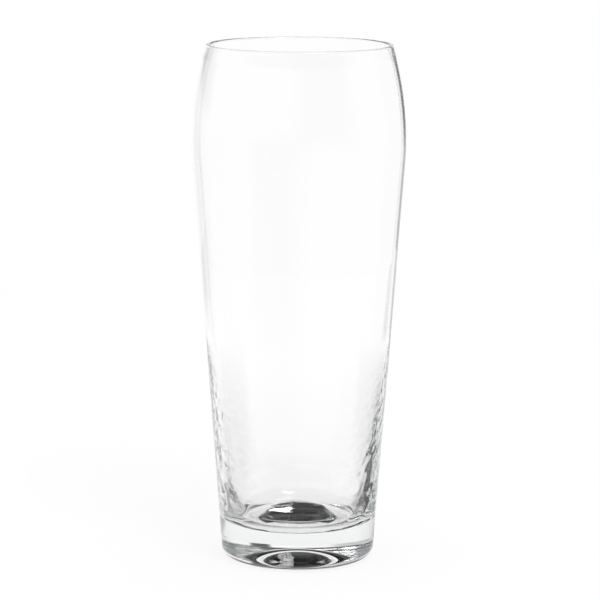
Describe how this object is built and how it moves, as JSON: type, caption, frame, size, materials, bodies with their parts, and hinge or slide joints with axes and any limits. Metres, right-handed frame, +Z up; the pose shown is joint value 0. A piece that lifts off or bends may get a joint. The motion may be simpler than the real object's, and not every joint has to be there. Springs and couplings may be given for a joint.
{
  "type": "drinking glass",
  "caption": "Tall clear water glass: straight walls widen upwards to a soft shoulder, curve in to a rounded rim, and stand on a thick solid base with a rounded heel and a raised floor.",
  "frame": {"origin": "on the table, at the middle of the standing ring under the base", "axes": "+Z up along the axis the glass is turned about; X and Y are free, because the glass is round"},
  "size_m": [0.0734, 0.0734, 0.178],
  "materials": {
    "clear_glass": "clear, fire-polished, with a faint ripple low on the inside"
  },
  "bodies": {
    "root": {"tumbler": "clear_glass"}
  },
  "joints": []
}
